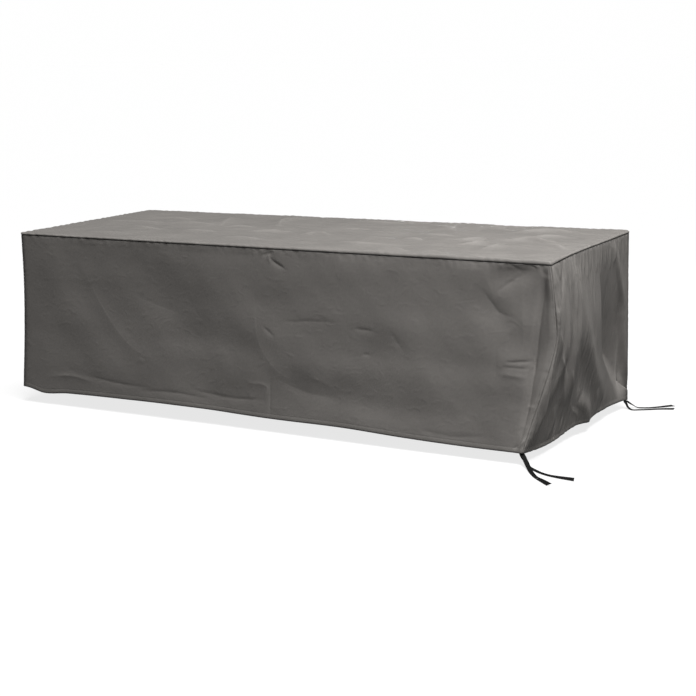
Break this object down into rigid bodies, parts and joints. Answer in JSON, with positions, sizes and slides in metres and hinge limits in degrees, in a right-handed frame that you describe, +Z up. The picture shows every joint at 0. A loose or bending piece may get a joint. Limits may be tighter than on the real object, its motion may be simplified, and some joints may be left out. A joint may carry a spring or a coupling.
{
  "type": "patio furniture cover",
  "caption": "Fitted oblong cover of coated woven cloth with a flat top, a full skirt with soft folds at one end, and black tie straps at two hem corners.",
  "frame": {"origin": "centre of the underside of the top panel, where the furniture's top bears", "axes": "+X along the length towards the end that shows its folds, -Y out of the long front side, +Z up"},
  "size_m": [2.6353, 1.3115, 0.7508],
  "materials": {
    "cover_cloth": "matt coated woven polyester, warm grey",
    "strap_webbing": "matt black woven tape"
  },
  "bodies": {
    "root": {"top_panel": "cover_cloth", "front_panel": "cover_cloth", "right_end_panel": "cover_cloth", "back_panel": "cover_cloth", "left_end_panel": "cover_cloth", "tie_front_a": "strap_webbing", "tie_front_b": "strap_webbing", "tie_back_a": "strap_webbing", "tie_back_b": "strap_webbing"}
  },
  "joints": []
}
